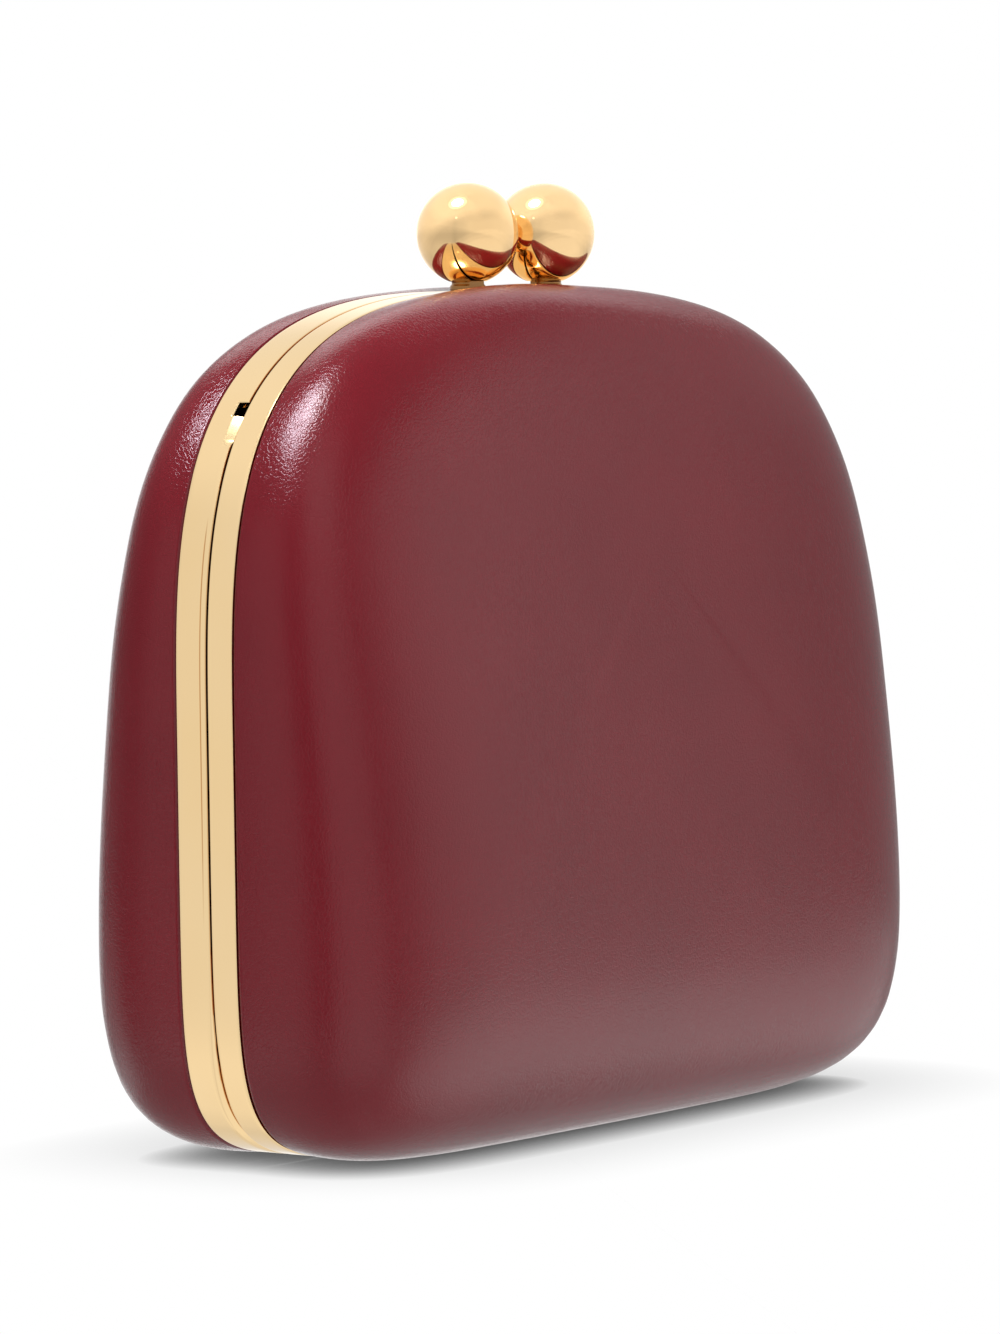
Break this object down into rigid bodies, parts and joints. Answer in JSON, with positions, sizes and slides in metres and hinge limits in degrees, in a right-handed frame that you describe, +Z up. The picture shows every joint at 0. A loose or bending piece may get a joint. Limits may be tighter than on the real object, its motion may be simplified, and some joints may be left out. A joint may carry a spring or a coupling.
{
  "type": "clutch bag",
  "caption": "Hard-shell clutch bag with two padded leather half shells in a gilt frame, hinged along the base and closed by a two-ball kiss clasp on top.",
  "frame": {"origin": "on the surface that the bag stands on, under the middle of its box", "axes": "+X across the bag to its right seen from the front, +Y from the front to the back, +Z up"},
  "size_m": [0.1796, 0.0784, 0.1709],
  "materials": {
    "gilt": "polished pale gilt plate",
    "leather": "smooth burgundy calf leather, semi-gloss",
    "board": "moulded core",
    "foam": "thin padding",
    "suede": "suede-like lining"
  },
  "bodies": {
    "back_half": {"back_frame": "gilt", "back_core": "board", "back_padding": "foam", "back_leather": "leather", "back_lining": "suede", "clasp_ball_back": "gilt", "clasp_collar_back": "gilt", "clasp_screw_back": "gilt", "hinge_leaf_back_left": "gilt", "hinge_leaf_back_right": "gilt", "hinge_pin_left": "gilt", "hinge_pin_right": "gilt", "back_leaf_rivets": "gilt", "chain_lug_left": "gilt", "chain_lug_right": "gilt", "chain_lug_rivets": "gilt"},
    "front_half": {"front_frame": "gilt", "front_core": "board", "front_padding": "foam", "front_leather": "leather", "front_lining": "suede", "locating_strip_left": "gilt", "locating_strip_right": "gilt", "clasp_ball_front": "gilt", "clasp_collar_front": "gilt", "clasp_screw_front": "gilt", "hinge_leaf_front_left": "gilt", "hinge_leaf_front_right": "gilt", "front_leaf_rivets": "gilt"}
  },
  "joints": [
    {"name": "frame_hinge", "type": "hinge", "parent": "back_half", "child": "front_half", "pos_m": [0, 0, 0.0016], "axis": [1, 0, 0], "range_deg": [0, 100]}
  ]
}
